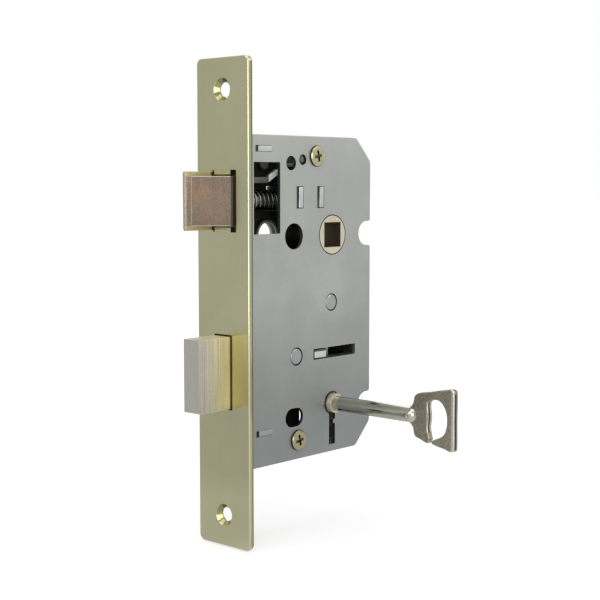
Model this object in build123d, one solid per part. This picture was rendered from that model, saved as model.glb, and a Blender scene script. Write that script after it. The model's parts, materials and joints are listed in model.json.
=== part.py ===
from build123d import *
from math import acos, asin, atan2, ceil, cos, degrees, hypot, pi, radians, sin, sqrt, tan
import os

# Mortise sashlock with latch, handle follower, three levers, deadbolt and key.
# X runs into the door from the front of the faceplate, Z is up, and -Y faces the
# side that carries the cover screws. The bolt is thrown, and the key points down.

# Faceplate
plate_length = 155.0
plate_width = 23.0
plate_thickness = 1.8
plate_corner = 2.0
plate_edge = 0.5
fixing_inset = 10.0
fixing_hole = 4.5
fixing_head = 7.2

# Case
case_depth = 64.0
case_height = 106.2
case_lift = 0.6
case_width = 15.0
sheet = 1.2
corner_run = 7.5
corner_rise = 7.9
corner_round = 2.5
fold_round = 0.9
cover_edge = 0.3

# Working axes: the backset from the front of the faceplate, the latch below the top of
# the case, the handle below the latch, the key above the bottom and the bolt above the key
backset = 44.0
latch_drop = 20.85
spindle_drop = 11.65
key_rise = 16.7
bolt_rise = 14.6

# Openings in the case: those of the latch are placed from its axis
through_centres = 38.0
through_hole = 8.6
through_collar = 1.9
collar_wall = 0.8
notch_height = 8.2
notch_inset = 2.2
notch_mouth = 1.2
lower_notch_drop = 2.4
window_width = 12.1
window_height = 22.8
window_front = 6.4
window_rise = 12.25
slot_round = 0.3
oblong_length = 8.6
oblong_height = 6.3
oblong_x = 25.1
oblong_drop = 2.6
sight_hole = 4.7
sight_x = 23.65
sight_rise = 12.0
sight_boss = 3.8
small_hole = 3.5
small_x = 29.2
small_rise = 13.15

# Brackets behind the faceplate
bracket_thickness = 1.8
bracket_end = 14.8
bracket_tab = 6.2
bracket_slot_play = 1.2
bracket_top_drop = 4.4
bracket_bottom_rise = 11.0
bracket_flange = 6.8
bracket_rivet = 2.5
bracket_rivet_cover = 0.6
bracket_rivet_head = 3.6
bracket_rivet_spread = 7.0

# Cover screws and the pillars that they enter
screw_size = 3.8
screw_head = 7.1
screw_head_height = 0.9
screw_length = 9.0
recess_width = 0.9
recess_length = 3.6
recess_depth = 0.7
recess_turn = -11.0
pillar_diameter = 7.0
pillar_spigot = 5.0
top_pillar_x = 36.1
top_pillar_drop = 6.45
bottom_pillar_x = 26.95
bottom_pillar_rise = 6.35

# Latch: heights of the parts behind its head count from its axis
latch_reach = 11.6
latch_inner = 8.0
latch_height = 15.5
latch_bevel_side = -4.6
latch_bevel_angle = 45.0
latch_lip_side = 4.5
lip_thickness = 1.5
lip_height = 18.4
lip_inner = 6.0
lip_corner = 1.2
latch_tip_round = 0.7
opening_play_side = 0.15
opening_play_lip = 0.9
opening_play_ends = 0.55
latch_play = 0.25
latch_rod = 4.0
rod_start = 3.6
latch_pin = 2.0
latch_pin_x = 5.6
spring_wire = 0.9
spring_outside = 7.0
spring_turns = 7
guide_thickness = 2.0
guide_front_x = 27.7
guide_rear_gap = 6.25
guide_slot_play = 1.25
guide_tab_low = -2.55
guide_tab_high = 4.45
guide_front_low = -5.25
guide_rear_low = -4.05
guide_high = 5.05
stirrup_bar = 1.5
stirrup_low = -1.75
stirrup_high = 1.75
stirrup_outside = 10.2
stirrup_window_play = 0.15
pull_bar_low = -2.85
pull_bar_high = 5.65
strip_thickness = 1.2
strip_height = 1.9
strip_lift = 6.6
strip_root = 1.2
strip_bend_x = 19.7
strip_end_x = 25.0
strip_rise = 2.8

# Handle follower
spindle_square = 8.1
follower_hub = 16.6
follower_boss = 13.4
horn_rise = 3.35
horn_width = 4.0
horn_lean = 6.0
horn_thickness = 5.6
horn_slack = 0.7
heel_reach = 10.5
heel_width = 3.6
heel_angle = 205.0
spring_post_ahead = 0.5
spring_post_drop = 1.5
spring_post_head = 5.9
spring_post_shaft = 3.6
follower_spring_thickness = 0.8
follower_spring_width = 4.0
follower_spring_y = 1.0
follower_spring_rise = 3.0
follower_spring_back = 3.5

# Deadbolt: heights on its tail count from its axis
bolt_throw = 13.8
bolt_height = 22.95
bolt_width = 7.0
bolt_inner = 8.0
bolt_edge = 0.3
bolt_play_y = 0.4
bolt_play_z = 0.5
tail_thickness = 3.2
tail_start = 3.6
tail_past_key = 4.5
tail_above = 9.2
tail_below = 5.3
tail_rivet = 2.6
tail_rivet_x = 5.8
tail_rivet_spread = 12.0
stump_x = 35.6
stump_length = 5.7
stump_height = 2.9
stump_rise = 2.75
stump_recess = 0.3
stump_slot_front = 1.1
stump_slot_rear = 0.9
stump_slot_play = 0.4

# Levers: heights count from the axis of the bolt
lever_thickness = 1.2
lever_gap = 0.2
lever_case_gap = 0.25
lever_post_x = 26.2
lever_post_rise = 2.9
lever_post_head = 6.0
lever_post_shaft = 4.0
lever_boss = 8.0
lever_above = 10.7
lever_below = 6.8
lever_end_gap = 3.6
lever_chamfer_run = 2.9
lever_chamfer_rise = 3.75
lever_corner = 1.0
lever_drop = 6.0
gate_play = 0.35
pocket_play = 1.15
belly_play = 0.25
lever_spring_thickness = 0.5
lever_spring_foot = 5.0
lever_spring_x = 28.5
lever_spring_tip_past = 1.0
lever_spring_tip_drop = 2.4

# Key
key_shaft = 5.0
key_hole_round = 6.2
key_slot_width = 3.2
back_slot_width = 2.7
key_slot_depth = 14.3
ward_out = 1.0
ward_low = 7.2
ward_high = 5.8
ward_round = 0.3
ward_play = 0.2
bit_thickness = 2.2
bit_reach = 12.8
lever_steps = [10.9, 11.4, 10.6]
lever_count = len(lever_steps)
bit_play = 0.3
collar_diameter = 6.6
collar_width = 1.7
collar_gap = 0.2
shaft_end = 42.3
shaft_round = 1.2
bow_start = 41.8
bow_shoulder = 1.2
bow_end = 59.0
bow_thickness = 2.2
bow_neck = 2.6
bow_shoulder_half = 4.0
bow_front = 7.1
bow_back = 9.9
bow_round = 1.5
tang_depth = 3.6
tang_half = 1.5
bow_hole_front = 48.7
bow_hole_back = 55.9
bow_hole_half = 6.2
bow_hole_round = 1.0
slit_width = 0.9
slit_length = 5.6
slit_y = 50.75
slit_z = -7.45
slit_turn = 44.0
bow_pin = 1.6
bow_pin_y = 40.9

# Clearances
running = 0.08
seat = 0.05
cut_over = 1.0

half_width = case_width / 2
inside = half_width - sheet
case_top = case_lift + case_height / 2
case_bottom = case_lift - case_height / 2
front_hole_x = backset - through_centres / 2
latch_z = case_top - latch_drop
spindle_z = latch_z - spindle_drop
key_z = case_bottom + key_rise
bolt_z = key_z + bolt_rise
lower_notch_z = key_z - lower_notch_drop
guide_rear_x = backset - guide_rear_gap
horn_reach = spindle_drop + horn_rise
spring_post_x = backset - spring_post_ahead
spring_post_z = (spindle_z + bolt_z) / 2 - spring_post_drop
tail_end = backset + tail_past_key
tail_top = bolt_z + tail_above
tail_bottom = bolt_z - tail_below
stump_z = bolt_z + stump_rise
lever_top = bolt_z + lever_above
lever_bottom = bolt_z - lever_below
lever_end = case_depth - sheet - lever_end_gap
spindle = (backset, spindle_z)
key_axis = (backset, key_z)
spring_post = (spring_post_x, spring_post_z)
lever_post_z = bolt_z + lever_post_rise
lever_post = (lever_post_x, lever_post_z)
pillars = {
    "top": (top_pillar_x, case_top - top_pillar_drop),
    "bottom": (bottom_pillar_x, case_bottom + bottom_pillar_rise),
}
brackets = {"top": (case_top - bracket_top_drop, -1), "bottom": (case_bottom + bracket_bottom_rise, 1)}


def slab(outline, y_from, y_to):
    """Extrude an outline drawn in X and Z from one Y to another."""
    return extrude(Plane.XZ.offset(-y_to) * outline, y_to - y_from)


def panel(outline, x_from, x_to):
    """Extrude an outline drawn in Y and Z from one X to another."""
    return extrude(Plane.YZ.offset(x_from) * outline, x_to - x_from)


def block(left, right, low, high):
    """A rectangle given by its four sides."""
    return Pos((left + right) / 2, (low + high) / 2) * Rectangle(right - left, high - low)


def disc(place, diameter):
    """A circle at a place."""
    return Pos(*place) * Circle(diameter / 2)


def arm(place, angle, reach, width):
    """A round ended bar from a place, its angle measured from +Z towards +X."""
    bar = Pos(0, reach / 2) * Rectangle(width, reach) + Pos(0, reach) * Circle(width / 2)
    return Pos(*place) * Rot(0, 0, -angle) * bar


def keep(name, shape):
    """Write one piece."""
    shape.label = name
    export_step(shape, f"parts/{name}.step")


def case_outline(inset=0.0):
    """The case seen from the side, drawn in by inset, open towards the faceplate."""
    slope = hypot(corner_run, corner_rise)
    share = 1 - inset * (corner_run + corner_rise - slope) / (corner_run * corner_rise)
    run = share * corner_run
    rise = share * corner_rise
    front = plate_thickness - (cut_over if inset else 0.0)
    rear = case_depth - inset
    low = case_bottom + inset
    top = case_top - inset
    points = [(front, low), (rear - run, low), (rear, low + rise)]
    points += [(rear, top - rise), (rear - run, top), (front, top)]
    outline = make_face(Polyline(*points, close=True))
    corners = [v for v in outline.vertices() if v.X > plate_thickness + corner_round]
    return fillet(corners, corner_round - inset)


def notch(z):
    """A round ended notch in the rear edge, with a rounded mouth."""
    end = case_depth - notch_inset
    radius = notch_height / 2
    slot = disc((end, z), notch_height) + block(end, case_depth + cut_over, z - radius, z + radius)
    for side in (-1, 1):
        corner = Pos(case_depth - notch_mouth / 2, z + side * (radius + notch_mouth / 2))
        mouth = corner * Rectangle(notch_mouth, notch_mouth)
        mouth -= disc((case_depth - notch_mouth, z + side * (radius + notch_mouth)), 2 * notch_mouth)
        slot += mouth
    return slot


def side_holes(slot_width):
    """The holes that both side plates share, with the width of their key slot."""
    holes = disc(spindle, follower_boss + 2 * running)
    holes += disc((front_hole_x, spindle_z), through_hole)
    oblong = SlotOverall(oblong_length, oblong_height)
    holes += Pos(oblong_x, key_z - oblong_drop) * oblong
    holes += disc(lever_post, lever_post_head + 2 * seat)
    holes += disc(spring_post, spring_post_head + 2 * seat)
    holes += keyhole(slot_width)
    for x in (guide_front_x, guide_rear_x):
        low = latch_z + guide_tab_low - seat
        high = latch_z + guide_tab_high + seat
        holes += block(x - guide_slot_play, x + guide_thickness + seat, low, high)
    for z, _ in brackets.values():
        half = bracket_thickness / 2 + seat
        left = bracket_end - bracket_tab - bracket_slot_play
        holes += block(left, bracket_end + seat, z - half, z + half)
    for z in (spindle_z, lower_notch_z):
        holes += notch(z)
    return holes


def keyhole(slot_width):
    """Round hole with a slot below, narrowed by a ward on its rear side."""
    half = slot_width / 2
    hole = disc(key_axis, key_hole_round)
    hole += block(backset - half, backset + half, key_z - key_slot_depth, key_z)
    low = key_z - ward_low
    high = key_z - ward_high
    ward = block(backset + key_slot_width / 2 - ward_out, backset + half + cut_over, low, high)
    ward = fillet(ward.vertices().sort_by(Axis.X)[:2], ward_round)
    return hole - ward


def faceplate():
    """Brass plate with countersunk fixing holes and the two bolt openings."""
    plate = panel(RectangleRounded(plate_width, plate_length, plate_corner), 0, plate_thickness)
    plate = fillet(plate.faces().sort_by(Axis.X)[0].outer_wire().edges(), plate_edge)
    latch_side = latch_lip_side + lip_thickness + opening_play_side
    tall = latch_height / 2 + opening_play_ends
    opening = block(-latch_side, latch_side, latch_z - tall, latch_z + tall)
    ear = lip_height / 2 + opening_play_ends
    for side in (-1, 1):
        inner, outer = sorted((side * (latch_lip_side - opening_play_lip), side * latch_side))
        opening += block(inner, outer, latch_z - ear, latch_z + ear)
    bolt_y = bolt_width / 2 + bolt_play_y
    bolt_tall = bolt_height / 2 + bolt_play_z
    opening += block(-bolt_y, bolt_y, bolt_z - bolt_tall, bolt_z + bolt_tall)
    plate -= panel(opening, -cut_over, plate_thickness + cut_over)
    sink = (fixing_head - fixing_hole) / 2
    cone = Cone(fixing_head / 2, fixing_hole / 2, sink, align=(Align.CENTER, Align.CENTER, Align.MIN))
    fixing_z = plate_length / 2 - fixing_inset
    for z in (-fixing_z, fixing_z):
        plate -= panel(disc((0, z), fixing_hole), -cut_over, plate_thickness + cut_over)
        plate -= Pos(0, 0, z) * Rot(0, 90, 0) * cone
    for y, z in bracket_rivet_places():
        plate -= panel(disc((y, z), bracket_rivet), bracket_rivet_cover, plate_thickness)
    return plate


def case_back():
    """Folded pan: back plate, rim walls, a drawn collar at the through hole and a pressed boss."""
    pan = slab(case_outline(), -inside, half_width)
    back = pan.faces().sort_by(Axis.Y)[-1]
    fold = [e for e in back.outer_wire().edges() if e.center().X > plate_thickness + cut_over]
    pan = fillet(fold, fold_round)
    pan -= slab(case_outline(sheet), -inside, inside)
    hole = (front_hole_x, spindle_z)
    raised = disc(hole, through_hole + 2 * collar_wall) + disc((sight_x, latch_z + sight_rise), sight_boss)
    pan += slab(raised, inside - through_collar, inside)
    holes = side_holes(back_slot_width)
    for place in pillars.values():
        holes += disc(place, pillar_spigot)
    return pan - slab(holes, inside - through_collar - cut_over, half_width + cut_over) - rim_notches()


def rim_notches():
    """The rear notches where they pass through the rim wall."""
    notches = notch(spindle_z) + notch(lower_notch_z)
    return slab(notches, -half_width, half_width)


def case_cover():
    """Flat cover plate with its window, sight holes, stump slot and screw holes."""
    window_top = latch_z + window_rise
    window = block(window_front, window_front + window_width, window_top - window_height, window_top)
    window = fillet(window.vertices(), slot_round)
    holes = side_holes(key_slot_width) + window + disc((small_x, latch_z + small_rise), small_hole)
    holes += disc((sight_x, latch_z + sight_rise), sight_hole)
    slot_half = stump_height / 2 + stump_slot_play
    slot_end = stump_x + bolt_throw + stump_length + stump_slot_rear
    slot = block(stump_x - stump_slot_front, slot_end, stump_z - slot_half, stump_z + slot_half)
    holes += fillet(slot.vertices(), slot_round)
    for place in pillars.values():
        holes += disc(place, screw_size + 2 * seat)
    cover = slab(case_outline(), -half_width, -inside)
    front = cover.faces().sort_by(Axis.Y)[0]
    rim = [e for e in front.outer_wire().edges() if e.center().X > plate_thickness + cut_over]
    cover = fillet(rim, cover_edge)
    return cover - slab(holes, -half_width - cut_over, -inside + cut_over)


def bracket_rivet_places(which=None):
    """Y and Z of the rivets that hold the faceplate to its brackets."""
    names = [which] if which else list(brackets)
    places = []
    for name in names:
        z, side = brackets[name]
        middle = z + side * (bracket_flange - bracket_rivet_head / 2 - plate_edge)
        places += [(y * bracket_rivet_spread / 2, middle) for y in (-1, 1)]
    return places


def bracket(which):
    """Angle plate with tabs through both side plates and a flange behind the faceplate."""
    z, side = brackets[which]
    half = bracket_thickness / 2
    side_gap = inside - seat
    shelf = block(plate_thickness, bracket_end, z - half, z + half)
    low, high = sorted((z - side * half, z + side * bracket_flange))
    body = slab(shelf, -side_gap, side_gap)
    body += slab(block(plate_thickness, plate_thickness + bracket_thickness, low, high), -side_gap, side_gap)
    body += slab(block(bracket_end - bracket_tab, bracket_end, z - half, z + half), -half_width, half_width)
    for place in bracket_rivet_places(which):
        body -= panel(disc(place, bracket_rivet), plate_thickness, plate_thickness + bracket_thickness)
    return body


def faceplate_rivets():
    """Four rivets that enter the back of the faceplate."""
    end = plate_thickness + bracket_thickness
    rivets = []
    for place in bracket_rivet_places():
        shank = panel(disc(place, bracket_rivet), bracket_rivet_cover, end)
        rivets.append(shank + panel(disc(place, bracket_rivet_head), end, end + plate_edge))
    return Compound(children=rivets)


def latch_guide(x, low, opening):
    """Upright plate between the side plates, with tabs through both of them."""
    outline = block(-inside + seat, inside - seat, latch_z + low, latch_z + guide_high)
    outline += block(-half_width, half_width, latch_z + guide_tab_low, latch_z + guide_tab_high)
    return panel(outline - opening, x, x + guide_thickness)


def cover_pillar(place):
    """Pillar under a cover screw, riveted into the back plate."""
    body = slab(disc(place, pillar_diameter), -inside, inside)
    body += slab(disc(place, pillar_spigot), inside, half_width)
    bore = slab(disc(place, screw_size + 2 * seat), -inside, screw_length - half_width + cut_over)
    return body - bore


def cover_screws():
    """Two screws with low round heads and cross recesses."""
    screws = []
    outer = -half_width - screw_head_height
    for place in pillars.values():
        head = slab(disc(place, screw_head), outer, -half_width)
        head = fillet(head.faces().sort_by(Axis.Y)[0].edges(), screw_head_height / 2)
        cross = Rectangle(recess_length, recess_width) + Rectangle(recess_width, recess_length)
        cross = Pos(*place) * Rot(0, 0, recess_turn) * cross
        head -= slab(cross, outer - cut_over, outer + recess_depth)
        screws.append(head + slab(disc(place, screw_size), -half_width, screw_length - half_width))
    return Compound(children=screws)


def post(place, head, shaft):
    """Post between the side plates with a riveted end in each."""
    body = slab(disc(place, shaft), -inside, inside)
    for side in (-1, 1):
        low, high = sorted((side * inside, side * half_width))
        body += slab(disc(place, head), low, high)
    return body


def latch_head():
    """Bevelled latch with a taller and longer lip along its flat side."""
    bevel_run = (latch_lip_side - latch_bevel_side) / tan(radians(latch_bevel_angle))
    bevel = make_face(
        Polyline(
            (latch_inner, latch_bevel_side),
            (0, latch_bevel_side),
            (-bevel_run, latch_lip_side),
            (latch_inner, latch_lip_side),
            close=True,
        )
    )
    head = extrude(Pos(0, 0, latch_z - latch_height / 2) * bevel, latch_height)
    low, high = latch_z - lip_height / 2, latch_z + lip_height / 2
    lip_outer = latch_lip_side + lip_thickness
    lip = make_face(
        Polyline(
            (lip_inner, latch_lip_side),
            (-latch_reach, latch_lip_side),
            (-latch_reach, lip_outer),
            (lip_inner, lip_outer),
            close=True,
        )
    )
    lip = fillet(lip.vertices().sort_by(Axis.X)[:2], latch_tip_round)
    side = block(-latch_reach, lip_inner, low, high)
    side = fillet(side.vertices().sort_by(Axis.X)[:2], lip_corner)
    head += extrude(Pos(0, 0, low) * lip, high - low) & slab(side, latch_lip_side, lip_outer)
    head -= panel(disc((0, latch_z), latch_rod + 2 * seat), rod_start, latch_inner)
    head -= latch_pin_shape(2 * seat)
    return head - latch_strip()


def latch_pin_shape(extra=0.0):
    """The upright pin through head and rod."""
    pin = Circle((latch_pin + extra) / 2)
    return extrude(Pos(latch_pin_x, 0, latch_z - latch_height / 2) * pin, latch_height)


def latch_rod_shape():
    """Round rod from the head to the stirrup."""
    end = guide_front_x + guide_thickness + latch_play + stirrup_bar
    rod = panel(disc((0, latch_z), latch_rod), rod_start, end)
    return rod - latch_pin_shape(2 * seat)


def latch_stirrup():
    """Frame that the horn of the follower pulls back."""
    front = guide_front_x + guide_thickness + latch_play
    horn_face = backset - horn_reach * sin(radians(horn_lean)) + horn_width / 2
    rear = horn_face + horn_slack
    outside = stirrup_outside / 2
    low, high = latch_z + stirrup_low, latch_z + stirrup_high
    pull_bar = block(-outside, outside, latch_z + pull_bar_low, latch_z + pull_bar_high)
    body = panel(block(-outside, outside, low, high), front, front + stirrup_bar)
    body += panel(pull_bar, rear, rear + stirrup_bar)
    for side in (-1, 1):
        inner, outer = sorted((side * (outside - stirrup_bar), side * outside))
        body += panel(block(inner, outer, low, high), front, rear)
    return body - panel(disc((0, latch_z), latch_rod + 2 * seat), front, front + stirrup_bar)


def latch_strip():
    """Cranked strip that stands out of the back of the latch head."""
    half = strip_height / 2
    middle = latch_z + strip_lift
    tilt = degrees(atan2(strip_rise, strip_end_x - strip_bend_x))
    run = hypot(strip_rise, strip_end_x - strip_bend_x)
    level = block(latch_inner - strip_root, strip_bend_x, middle - half, middle + half)
    raised = disc((strip_bend_x, middle), strip_height)
    sloped = Pos(run / 2, 0) * Rectangle(run, strip_height)
    raised += Pos(strip_bend_x, middle) * Rot(0, 0, tilt) * sloped
    return slab(level + raised, -strip_thickness / 2, strip_thickness / 2)


def biarc(start, start_way, end, end_way):
    """Two arcs that join two points and follow a direction at each."""
    gap = end - start
    ways = start_way + end_way
    spread = 2 * (1 - start_way.dot(end_way))
    across = gap.dot(ways)
    reach = (sqrt(across * across + spread * gap.dot(gap)) - across) / spread
    first = start + start_way * reach
    second = end - end_way * reach
    middle = (first + second) * 0.5
    middle_way = (second - first).normalized()
    return [TangentArc(start, middle, tangent=start_way), TangentArc(middle, end, tangent=middle_way)]


def coil_route():
    """Points and directions of the latch spring: square ends and quarter turns between."""
    radius = (spring_outside - spring_wire) / 2
    begin = latch_inner + seat
    end = guide_front_x
    lead = (end - begin - 2 * spring_wire) / spring_turns
    route = []
    for quarter in range(4 * spring_turns + 1):
        angle = quarter * pi / 2
        x = begin + spring_wire + lead * quarter / 4
        place = Vector(x, radius * cos(angle), latch_z + radius * sin(angle))
        way = Vector(lead / (2 * pi), -radius * sin(angle), radius * cos(angle)).normalized()
        route.append((place, way))
    along = Vector(1, 0, 0)
    route[0] = (route[0][0], along)
    route[-1] = (route[-1][0], along)
    return route


def latch_spring():
    """Coil spring round the latch rod, one unbroken wire."""
    route = coil_route()
    stub = Vector(spring_wire, 0, 0)
    edges = [Line(route[0][0] - stub, route[0][0])]
    for (start, start_way), (end, end_way) in zip(route, route[1:]):
        edges += biarc(start, start_way, end, end_way)
    edges.append(Line(route[-1][0], route[-1][0] + stub))
    path = Wire([edge.edge() for edge in edges])
    print(f"latch spring: least gap to itself {least_gap(path, spring_wire):.2f} mm")
    section = Plane(origin=path @ 0, z_dir=path % 0) * Circle(spring_wire / 2)
    return sweep(section, path=path)


def least_gap(path, wire):
    """Least distance between turns of a wound wire, measured on points."""
    count = ceil(path.length / (wire / 2))
    points = [path @ (i / count) for i in range(count + 1)]
    apart = ceil(pi * wire / (path.length / count))
    gaps = [(points[i] - points[j]).length for i in range(count + 1) for j in range(i + apart, count + 1)]
    return min(gaps) - wire


def follower():
    """Hub with a square hole, a boss in each side plate, a horn and a spring heel."""
    hub = slab(disc(spindle, follower_hub), seat - inside, inside - seat)
    hub += slab(disc(spindle, follower_boss), -half_width, half_width)
    half = horn_thickness / 2
    hub += slab(arm(spindle, -horn_lean, horn_reach, horn_width), -half, half)
    hub += slab(arm(spindle, heel_angle, heel_reach, heel_width), -half, half)
    square = Pos(*spindle) * Rectangle(spindle_square, spindle_square)
    return hub - slab(square, -half_width - cut_over, half_width + cut_over)


def tangent_corner(first, last, centre, radius):
    """Where two lines meet that touch a circle on the way from first to last."""
    ways = []
    for place, side in ((first, 1), (last, -1)):
        across, up = centre[0] - place[0], centre[1] - place[1]
        angle = atan2(up, across) + side * asin(radius / hypot(across, up))
        ways.append((cos(angle), sin(angle)))
    (ux, uz), (vx, vz) = ways
    across, up = last[0] - first[0], last[1] - first[1]
    reach = (across * vz - up * vx) / (ux * vz - uz * vx)
    return first[0] + reach * ux, first[1] + reach * uz


def bent_strip(points, radius, thickness, y_from, y_to):
    """Flat spring bent round soft corners."""
    middle = (y_from + y_to) / 2
    path = FilletPolyline(*[(x, middle, z) for x, z in points], radius=radius)
    section = Plane(origin=path @ 0, x_dir=(0, 1, 0), z_dir=path % 0)
    return sweep(section * Rectangle(y_to - y_from, thickness), path=path)


def follower_spring():
    """Flat spring that passes under its post and presses on the heel of the follower."""
    half = follower_spring_thickness / 2
    radius = spring_post_shaft / 2 + bit_play + half
    heel_radius = heel_width / 2 + bit_play + half
    heel_x = backset + heel_reach * sin(radians(heel_angle))
    heel_z = spindle_z + heel_reach * cos(radians(heel_angle))
    across, up = heel_x - spring_post_x, heel_z - spring_post_z
    outward = atan2(up, across) + acos((radius - heel_radius) / hypot(across, up))
    last = (
        heel_x + heel_radius * cos(outward) + follower_spring_rise * sin(outward),
        heel_z + heel_radius * sin(outward) - follower_spring_rise * cos(outward),
    )
    first = (case_depth - sheet - bit_play - half, spring_post_z + follower_spring_back)
    corner = tangent_corner(first, last, spring_post, radius)
    points = [first, corner, last]
    low = follower_spring_y - follower_spring_width / 2
    return bent_strip(points, radius, follower_spring_thickness, low, low + follower_spring_width)


def deadbolt_head():
    """Solid bolt head with a slot for the tail and two rivet holes."""
    low = bolt_z - bolt_height / 2
    outline = block(-bolt_width / 2, bolt_width / 2, low, low + bolt_height)
    head = panel(outline, -bolt_throw, bolt_inner)
    head = fillet(head.faces().sort_by(Axis.X)[0].edges(), bolt_edge)
    mouth = block(tail_start, bolt_inner, low, low + bolt_height)
    head -= slab(mouth, -tail_thickness / 2, tail_thickness / 2)
    return head - tail_rivet_shapes(2 * seat)


def tail_rivet_shapes(extra=0.0):
    """The two rivets through head and tail."""
    places = [(tail_rivet_x, bolt_z + side * tail_rivet_spread / 2) for side in (-1, 1)]
    rivets = [slab(disc(place, tail_rivet + extra), -bolt_width / 2, bolt_width / 2) for place in places]
    return Compound(children=rivets)


def talon():
    """Recess that clears the key bit on its way round while the bolt moves."""
    corner_radius = hypot(bit_reach, bit_thickness / 2)
    corner_angle = degrees(atan2(bit_thickness / 2, bit_reach))
    half_angle = degrees(acos((tail_bottom - key_z) / corner_radius))
    reach = corner_radius * sin(radians(half_angle))
    enter = bolt_throw * (180 - half_angle + corner_angle) / 360
    leave = bolt_throw * (180 + half_angle - corner_angle) / 360
    left = backset - reach - enter - 2 * bit_play
    right = backset + reach - leave + 2 * bit_play
    top = key_z + corner_radius + bit_play
    recess = block(left, right, tail_bottom - cut_over, top)
    return fillet(recess.vertices().sort_by(Axis.Y)[-2:], bit_play)


def deadbolt_tail():
    """Slotted plate behind the bolt head, driven by the key at its talon."""
    outline = block(tail_start, tail_end, tail_bottom, tail_top)
    outline = fillet(outline.vertices().sort_by(Axis.X)[-2:], lever_corner)
    post_half = lever_post_shaft / 2 + gate_play
    slot = block(lever_post_x - bolt_throw, lever_post_x, lever_post_z - post_half, lever_post_z + post_half)
    for x in (lever_post_x - bolt_throw, lever_post_x):
        slot += disc((x, lever_post_z), 2 * post_half)
    tail = slab(outline - slot - talon(), -tail_thickness / 2, tail_thickness / 2)
    return tail - tail_rivet_shapes(2 * seat)


def deadbolt_stump():
    """Square stump that stands on the tail and passes the lever gates."""
    half = stump_height / 2
    outline = block(stump_x, stump_x + stump_length, stump_z - half, stump_z + half)
    return slab(outline, stump_recess - half_width, -tail_thickness / 2)


def lever_sides(index):
    """The Y range of one lever, the first next to the cover."""
    low = lever_case_gap - inside + index * (lever_thickness + lever_gap)
    return low, low + lever_thickness


def lever(index):
    """Flat lever with a pocket for each end of the throw, a gate and a key belly."""
    boss_half = lever_boss / 2
    points = [(lever_post_x, lever_post_z + boss_half), (lever_post_x + boss_half, lever_top)]
    points += [(lever_end, lever_top), (lever_end, lever_bottom + lever_chamfer_rise)]
    points += [(lever_end - lever_chamfer_run, lever_bottom), (lever_post_x + boss_half, lever_bottom)]
    points += [(lever_post_x, lever_post_z - boss_half)]
    body = make_face(Polyline(*points, close=True))
    outer = [v for v in body.vertices() if v.X > lever_post_x + boss_half - seat]
    body = fillet(outer, lever_corner)
    body += disc(lever_post, lever_boss)
    body -= disc(lever_post, lever_post_shaft + 2 * running)
    low = stump_z - stump_height / 2 - gate_play
    high = stump_z + stump_height / 2 + gate_play
    body -= block(stump_x, stump_x + bolt_throw + stump_length, low, high)
    for shift in (0, bolt_throw):
        left = stump_x + shift - pocket_play
        right = stump_x + shift + stump_length + pocket_play
        rise = (right - lever_post_x) * sin(radians(lever_drop))
        body -= block(left, right, low, high + rise)
    body -= disc(key_axis, 2 * (lever_steps[index] + belly_play))
    return slab(body, *lever_sides(index))


def lever_spring(index):
    """Flat wire spring that stands on a lever and bears under the spring post."""
    foot_z = lever_top + lever_spring_thickness / 2
    points = [(lever_spring_x + lever_spring_thickness, foot_z), (lever_spring_x + lever_spring_foot, foot_z)]
    points.append((spring_post_x + lever_spring_tip_past, spring_post_z - lever_spring_tip_drop))
    inset = (lever_thickness - lever_spring_thickness) / 2
    low, high = lever_sides(index)
    return bent_strip(points, 2 * lever_spring_thickness, lever_spring_thickness, low + inset, high - inset)


def key_bit():
    """Stepped bit, the same from both sides, with a groove for the ward."""
    walls = [inside - bit_play]
    for index in range(1, lever_count):
        walls.append(lever_gap / 2 - lever_sides(index)[0])
    walls.append((tail_thickness / 2 - lever_sides(lever_count - 1)[1]) / 2)
    half = bit_thickness / 2
    bit = slab(block(backset - half, backset + half, key_z - bit_reach, key_z), -walls[-1], walls[-1])
    for index, step in enumerate(lever_steps):
        shape = block(backset - half, backset + half, key_z - step, key_z)
        bit += slab(shape, -walls[index], -walls[index + 1])
        bit += slab(shape, walls[index + 1], walls[index])
    ward_x = backset + key_slot_width / 2 - ward_out - ward_play
    low = key_z - ward_low - ward_play
    high = key_z - ward_high + ward_play
    bit -= slab(block(ward_x, backset + half, low, high), -inside, inside)
    return bit - slab(disc(key_axis, key_shaft), -inside, inside)


def key_shaft_shape():
    """Round shaft with a slot for the bow in its outer end."""
    shaft = slab(disc(key_axis, key_shaft), -shaft_end, half_width)
    shaft = fillet(shaft.faces().sort_by(Axis.Y)[0].edges(), shaft_round)
    half = bow_thickness / 2
    mouth = block(backset - half, backset + half, key_z - key_shaft, key_z + key_shaft)
    shaft -= slab(mouth, -shaft_end, tang_depth - bow_start)
    return shaft - bow_pin_shape()


def bow_pin_shape():
    """Small pin through shaft and bow."""
    return panel(disc((-bow_pin_y, key_z), bow_pin), backset - key_shaft / 2, backset + key_shaft / 2)


def key_collar():
    """Collar that stops the key against the cover."""
    near = -half_width - collar_gap
    ring = disc(key_axis, collar_diameter) - disc(key_axis, key_shaft)
    return slab(ring, near - collar_width, near)


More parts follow.
